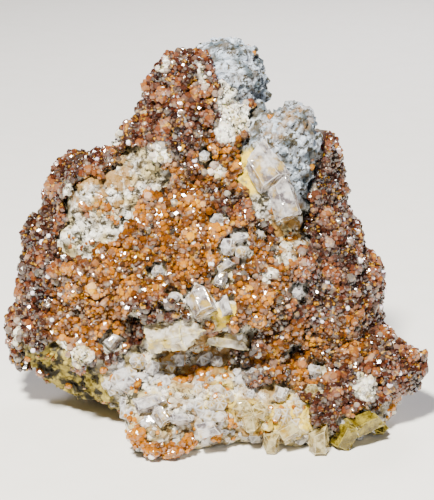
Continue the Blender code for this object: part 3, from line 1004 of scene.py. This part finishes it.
@dataclass
class GarnetDruse:
    """The crust of intergrown garnets: rounded lumps, crowded with single crystals."""

    sheet: Sheet
    voxel: float = 0.55 * MM
    smoothing: int = 2
    stand_back: float = 1.35 * MM
    lump: float = 1.8 * MM
    lump_size: float = 4.6
    lump_steep: float = 1.4
    inner_gap: float = 0.75 * MM
    quartz_gap: float = 0.55 * MM
    floor_gap: float = 1.0 * MM
    # painted light: around these the garnets are amber, as where light falls fully, and away from them mauve
    # brown, as under grazing light
    painted_light_hearts: tuple[Patch, ...] = (
        Patch(-12, 4, 15), Patch(3, -5, 13), Patch(-22, -10, 10), Patch(12, -18, 9), Patch(3, 15, 8),
        Patch(22, -15, 6, 0.6))
    bare_spots: tuple[Patch, ...] = (
        Patch(-4.2, 31.8, 1.0), Patch(-3.4, 30.4, 1.0), Patch(-2.6, 29.0, 1.0), Patch(-1.9, 27.8, 0.8),
        Patch(-22.8, -17.8, 2.4), Patch(-25.6, -16.4, 1.6), Patch(-16.0, 5.6, 1.3), Patch(-17.6, 5.2, 1.0),
        Patch(1.8, 19.6, 2.4), Patch(0.2, 13.4, 1.6), Patch(-17, 18.6, 1.8), Patch(25.0, -23.2, 2.2),
        Patch(3.2, 26.0, 3.4), Patch(3.8, 21.7, 3.0), Patch(-9.5, 16.0, 2.2), Patch(-9.2, 31.0, 1.6),
        Patch(1.2, 24.5, 2.2), Patch(15.0, 10.0, 1.8), Patch(-24.5, 9.5, 1.8), Patch(9.0, -4.5, 1.4),
        Patch(-33.5, -14.0, 2.0))
    bare_level: float = 0.5
    size_drift: Drift = Drift(1.0, 0.35, 4.5)
    painted_light_level: float = 1.1
    tone_drift: Drift = Drift(0.0, 0.35, 6.0)
    frost_drift: Drift = Drift(0.0, 0.5, 0.8)
    chalk_level: float = 0.6
    # painted shade: the lumps between the crystals are drawn dark
    painted_depth_tint: Drift = Drift(0.18, 0.12, 1.1)
    # painted shade in the creases and painted light on the crowns of the lumps
    painted_crease_tint: float = 0.12
    painted_crown_tint: float = 0.54
    painted_crown_steep: float = 2.0
    tint_drift: Drift = Drift(0.0, 0.2, 4.5)
    chalk: Growth = Growth((Form.CHIP, Form.STUB), 0.6 * MM, 0.25 * MM, 0.7 * MM, 27)
    garnets: Growth = Growth((Form.DODECAHEDRON, Form.TRAPEZOHEDRON, Form.DODECAHEDRON), 0.66 * MM,
                             0.38 * MM, 0.82 * MM, 21, sink=0.3)
    stretches: tuple[tuple[str, float, float], ...] = (
        ("left", -1.0, -11 * MM), ("middle", -11 * MM, 6 * MM), ("right", 6 * MM, 1.0))

    def bulge(self, place: Vector) -> float:
        """The height of round lumps with creases between them, a little behind the solid's own face."""
        return smooth(inside(place, self.lump_size) * self.lump_steep) * self.lump - self.stand_back

    def shade(self, place: Vector) -> float:
        """How light the garnets are at a place: painted light on the crowns of lumps, painted shade in the
        creases, and a random drift.
        """
        crown = smooth(inside(place, self.lump_size) * self.painted_crown_steep)
        return self.painted_crease_tint + self.painted_crown_tint * crown + self.tint_drift.at(place)

    def marks(self, mesh: Mesh, seen: BVHTree, rock: BVHTree, quartz: BVHTree) -> None:
        """Marks where crystals grow, which colour they have, with painted light and shade in it, and where
        white rock shows through.

        Args:
            mesh: The lumps.
            seen: The surfaces that can be seen.
            rock: The host rock's solid.
            quartz: The solids of the quartz crystals.
        """
        painted_light_balls = self.sheet.balls(seen, self.painted_light_hearts)
        bare = self.sheet.balls(seen, self.bare_spots)

        def cover(co: Vector) -> float:
            """Says whether crystals grow at a place.

            Args:
                co: The place, in metres.

            Returns:
                1 on the open side of the crust, clear of the quartz, the floor and the bare spots.
            """
            hidden = rock.find_nearest(co, self.inner_gap)[0] is not None
            crowded = quartz.find_nearest(co, self.quartz_gap)[0] is not None
            low = co.z < self.floor_gap
            return 0.0 if hidden or crowded or low or strongest(bare, co) > self.bare_level else 1.0

        def tone(co: Vector) -> float:
            """0 where the garnets are amber, as painted light, 1 where they are mauve brown, as painted
            grazing light.
            """
            return smooth(self.painted_light_level - (strongest(painted_light_balls, co) + self.tone_drift.at(co)))

        mark(mesh, Mark.COVER, cover)
        mark(mesh, Mark.SIZE, self.size_drift.at)
        mark(mesh, Mark.TONE, tone)
        mark(mesh, Mark.FROST, lambda co: smooth(strongest(bare, co) * 2 + self.frost_drift.at(co)))
        mark(mesh, Mark.TINT, self.painted_depth_tint.at)

    def build(self, seen: BVHTree, rock: BVHTree, quartz: BVHTree) -> None:
        """Builds the lumps, chalk crumbs, and the garnets in stretches from left to right.

        Args:
            seen: The surfaces that can be seen.
            rock: The host rock's solid.
            quartz: The solids of the quartz crystals.
        """
        mesh = even_skin(merged_copy(["garnet_crust"]), self.voxel, self.smoothing)
        raised(mesh, self.bulge)
        self.marks(mesh, seen, rock, quartz)
        finished("druse_lumps", mesh, GARNET, ["garnet_crust"])

        chalky = mesh.copy()
        frost = read_mark(mesh, Mark.FROST)
        write_mark(chalky, Mark.COVER, [smooth(f * 2 - self.chalk_level) for f in frost])
        finished("chalk_on_druse", self.chalk.over(chalky, ROCK), ROCK)

        cover = read_mark(mesh, Mark.COVER)
        for seed, (name, low, high) in enumerate(self.stretches, self.garnets.seed):
            part = mesh.copy()
            held = [c if low <= v.co.x < high else 0.0 for c, v in zip(cover, part.vertices)]
            write_mark(part, Mark.COVER, held)
            mark(part, Mark.TINT, self.shade)
            grown = replace(self.garnets, seed=seed).over(part, GARNET)
            finished(f"druse_garnets_{name}", grown, GARNET)


@dataclass
class RockGrowth:
    """What stands on the bare rock: crumbs of it, small quartz on the lower band, and loose garnets.

    Each kind grows where its drift is above 0, and is dense from 0.3 to 0.5 above it.
    """

    band_top: float = 14 * MM
    band_front: float = -9 * MM
    band_left: float = -18 * MM
    shoulder: float = 42 * MM
    floor_gap: float = 1.2 * MM
    neighbour_gap: float = 0.7 * MM
    size_drift: Drift = Drift(1.0, 0.5, 5.0)
    tint_drift: Drift = Drift(0.55, 0.25, 3.0)
    tone_drift: Drift = Drift(0.45, 1.0, 8.0)
    band_tone: float = 0.15
    crumb_drift: Drift = Drift(0.45, 1.0, 4.0)
    quartz_drift: Drift = Drift(0.2, 1.0, 4.0)
    band_garnet_drift: Drift = Drift(0.12, 1.0, 3.0)
    low_garnet_drift: Drift = Drift(0.0, 1.0, 3.0)
    high_garnet_drift: Drift = Drift(-0.4, 1.0, 3.0)
    crumbs: Growth = Growth((Form.CHIP, Form.STUB), 0.9 * MM, 0.3 * MM, 1.0 * MM, 45, sink=0.2)
    quartz: Growth = Growth((Form.STUB, Form.TABLET, Form.PRISM), 1.25 * MM, 0.6 * MM, 1.8 * MM, 41,
                            lean=0.8)
    garnets: Growth = Growth((Form.DODECAHEDRON, Form.TRAPEZOHEDRON), 0.9 * MM, 0.35 * MM, 0.95 * MM, 43)

    def on_band(self, co: Vector) -> bool:
        """Whether a point is on the lower band."""
        return co.y < self.band_front and co.z < self.band_top and co.x > self.band_left

    def tone(self, co: Vector) -> float:
        """0 where the garnets are amber, as on the band, 1 where they are mauve brown."""
        return self.band_tone if self.on_band(co) else smooth(self.tone_drift.at(co))

    def garnet_drift(self, co: Vector) -> Drift:
        """The drift of the loose garnets at a place: many on the band, few near the peak."""
        off_band = self.low_garnet_drift if co.z < self.shoulder else self.high_garnet_drift
        return self.band_garnet_drift if self.on_band(co) else off_band

    def build(self, rock: Mesh, covered: BVHTree) -> None:
        """Grows the crumbs, then the quartz, then the garnets.

        Args:
            rock: The host rock's mesh.
            covered: The solids of everything else.
        """
        mark(rock, Mark.SIZE, self.size_drift.at)
        mark(rock, Mark.TINT, self.tint_drift.at)
        mark(rock, Mark.TONE, self.tone)
        free = [covered.find_nearest(v.co, self.neighbour_gap)[0] is None and v.co.z > self.floor_gap
                for v in rock.vertices]
        kinds: tuple[tuple[str, Growth, Finish, Slot, Rule], ...] = (
            ("rock_crumbs", self.crumbs, ROCK, Slot.ROCK,
             lambda co: smooth(self.crumb_drift.at(co) * 2)),
            ("band_quartz", self.quartz, CLEAR, Slot.CLEAR,
             lambda co: smooth(self.quartz_drift.at(co) * 3) if self.on_band(co) else 0.0),
            ("rock_garnets", self.garnets, GARNET, Slot.GARNET,
             lambda co: smooth(self.garnet_drift(co).at(co) * 3)))
        for name, growth, finish, slot, rule in kinds:
            write_mark(rock, Mark.COVER, [rule(v.co) if f else 0.0 for v, f in zip(rock.vertices, free)])
            finished(name, growth.over(rock, finish), finish)


@dataclass
class SingleGarnets:
    """The garnets that stand apart from the crust, each under smaller crystals of its own."""

    voxel: float = 0.25 * MM
    stand_back: float = 0.45 * MM
    floor_gap: float = 0.7 * MM
    tone: float = 0.1
    tint_drift: Drift = Drift(0.5, 0.3, 1.5)
    crystals: Growth = Growth((Form.DODECAHEDRON, Form.TRAPEZOHEDRON), 0.75 * MM, 0.4 * MM, 0.85 * MM, 61,
                              sink=0.2)

    def build(self) -> None:
        """Builds each garnet node's crystals, then its body."""
        names = [n for n in NODES if "garnet" in n and n != "garnet_crust"]
        for seed, name in enumerate(names, self.crystals.seed):
            mesh = even_skin(merged_copy([name]), self.voxel)
            raised(mesh, lambda place: -self.stand_back)
            mark(mesh, Mark.TONE, lambda co: self.tone)
            mark(mesh, Mark.SIZE, lambda co: 1.0)
            mark(mesh, Mark.COVER, lambda co: float(co.z > self.floor_gap))
            mark(mesh, Mark.TINT, self.tint_drift.at)
            grown = replace(self.crystals, seed=seed).over(mesh, GARNET)
            finished(f"{name}_crystals", grown, GARNET)
            finished(f"{name}_grown", mesh, GARNET, [name])


@dataclass
class LargeQuartz:
    """The large quartz crystals: the solids' own shapes, with chipped and stepped faces."""

    longest: float = 0.6 * MM
    step_size: float = 2.2
    step: float = 0.16 * MM
    coarse_step: float = 0.4 * MM
    step_sunk: float = 0.7
    draw_spread: float = 7.0
    straw: tuple[str, ...] = ("quartz_row_left", "quartz_row_right", "quartz_band_right", "quartz_right_low")

    def build(self) -> None:
        """Builds one piece for each quartz node, in the finish of its slot."""
        finishes = {Slot.CLEAR: CLEAR, Slot.MILKY: MILKY, Slot.STAINED: OLIVE}
        for row in frame["record"]["subparts"]:
            name, slot = row["node"], Slot(row["material_slot"])
            if slot in finishes:
                mesh = close_netted(merged_copy([name]), self.longest)
                step = self.coarse_step if slot is Slot.MILKY else self.step
                raised(mesh, lambda place, step=step: self.stepped(place) * step)
                finish = STRAW if name in self.straw else finishes[slot]
                finished(f"{name}_grown", mesh, finish, [name])

    def stepped(self, place: Vector) -> float:
        """The height of small flat chips with steps between them, in steps: most lie under the face."""
        near = noise.voronoi(place * per(self.step_size))[1][0]
        return noise.cell(near * self.draw_spread) - self.step_sunk


@dataclass(frozen=True)
class Light:
    """A soft square light that faces the specimen.

    It has its place and its side in metres, its power in watts and its sRGB colour.
    """

    name: str
    place: Point
    side: float
    power: float
    colour: str

    def build(self) -> None:
        """Sets the light up."""
        data = bpy.data.lights.new(self.name, "AREA")
        data.shape = "SQUARE"
        data.size = self.side
        data.energy = self.power
        data.color = linear(self.colour)[:3]
        obj = new_object(self.name, data)
        obj.location = self.place
        obj.rotation_euler = (MIDDLE - Vector(self.place)).to_track_quat("-Z", "Y").to_euler()


@dataclass
class Studio:
    """The floor, the lights and the camera at the photograph's angle."""

    sheet: Sheet
    sensor: float = 36.0
    clip_start: float = 0.01
    floor_size: float = 3.0
    lights: tuple[Light, ...] = (
        Light("key", (-0.10, -0.28, 0.44), 0.07, 12.0, "FFFCF4"),
        Light("fill", (0.34, -0.30, 0.10), 0.14, 0.7, "F2F6FF"),
        Light("rim", (0.12, 0.36, 0.28), 0.14, 1.8, "F6F4FF"))
    sky_colour: str = "E8ECF2"
    sky_strength: float = 0.1

    def floor(self) -> None:
        """Lays a plain pale floor."""
        bm = bmesh.new()
        bmesh.ops.create_grid(bm, x_segments=1, y_segments=1, size=self.floor_size / 2)
        mesh = bpy.data.meshes.new("floor")
        bm.to_mesh(mesh)
        bm.free()
        mesh.materials.append(PAPER.material())
        new_object("floor", mesh)

    def sky(self) -> None:
        """Sets up an even sky."""
        world = bpy.data.worlds.new("studio")
        world.use_nodes = True
        join(world.node_tree, world.node_tree.nodes["Background"], {
            "Color": linear(self.sky_colour), "Strength": self.sky_strength})
        bpy.context.scene.world = world

    def camera(self) -> None:
        """Sets up a long lens at the sheet's eye: the image's long side fits the sheet's scale."""
        data = bpy.data.cameras.new("camera")
        data.sensor_width = self.sensor
        data.lens = self.sensor * self.sheet.distance * self.sheet.per_mm / max(IMAGE_SIZE)
        data.clip_start = self.clip_start
        obj = new_object("camera", data)
        right, rise, towards = self.sheet.axes()
        turn = Matrix((right, rise, towards)).transposed().to_4x4()
        obj.matrix_world = Matrix.Translation(self.sheet.eye()) @ turn
        bpy.context.scene.camera = obj

    def build(self) -> None:
        """Sets the studio up."""
        self.camera()
        self.floor()
        for light in self.lights:
            light.build()
        self.sky()


def main() -> None:
    """Builds the specimen's looks, piece by piece."""
    logging.basicConfig(level=logging.INFO, format="%(message)s")
    sheet = Sheet()
    Studio(sheet).build()
    seen = tree_of(obj.data for obj in NODES.values())
    rock_solid = tree_of([NODES["matrix"].data])
    quartz_solids = tree_of(obj.data for name, obj in NODES.items() if name.startswith("quartz"))
    others = tree_of(obj.data for name, obj in NODES.items() if name != "matrix")

    rock = HostRock(sheet).build(seen)
    GarnetDruse(sheet).build(seen, rock_solid, quartz_solids)
    RockGrowth().build(rock, others)
    SingleGarnets().build()
    LargeQuartz().build()


if __name__ == "__main__":
    main()
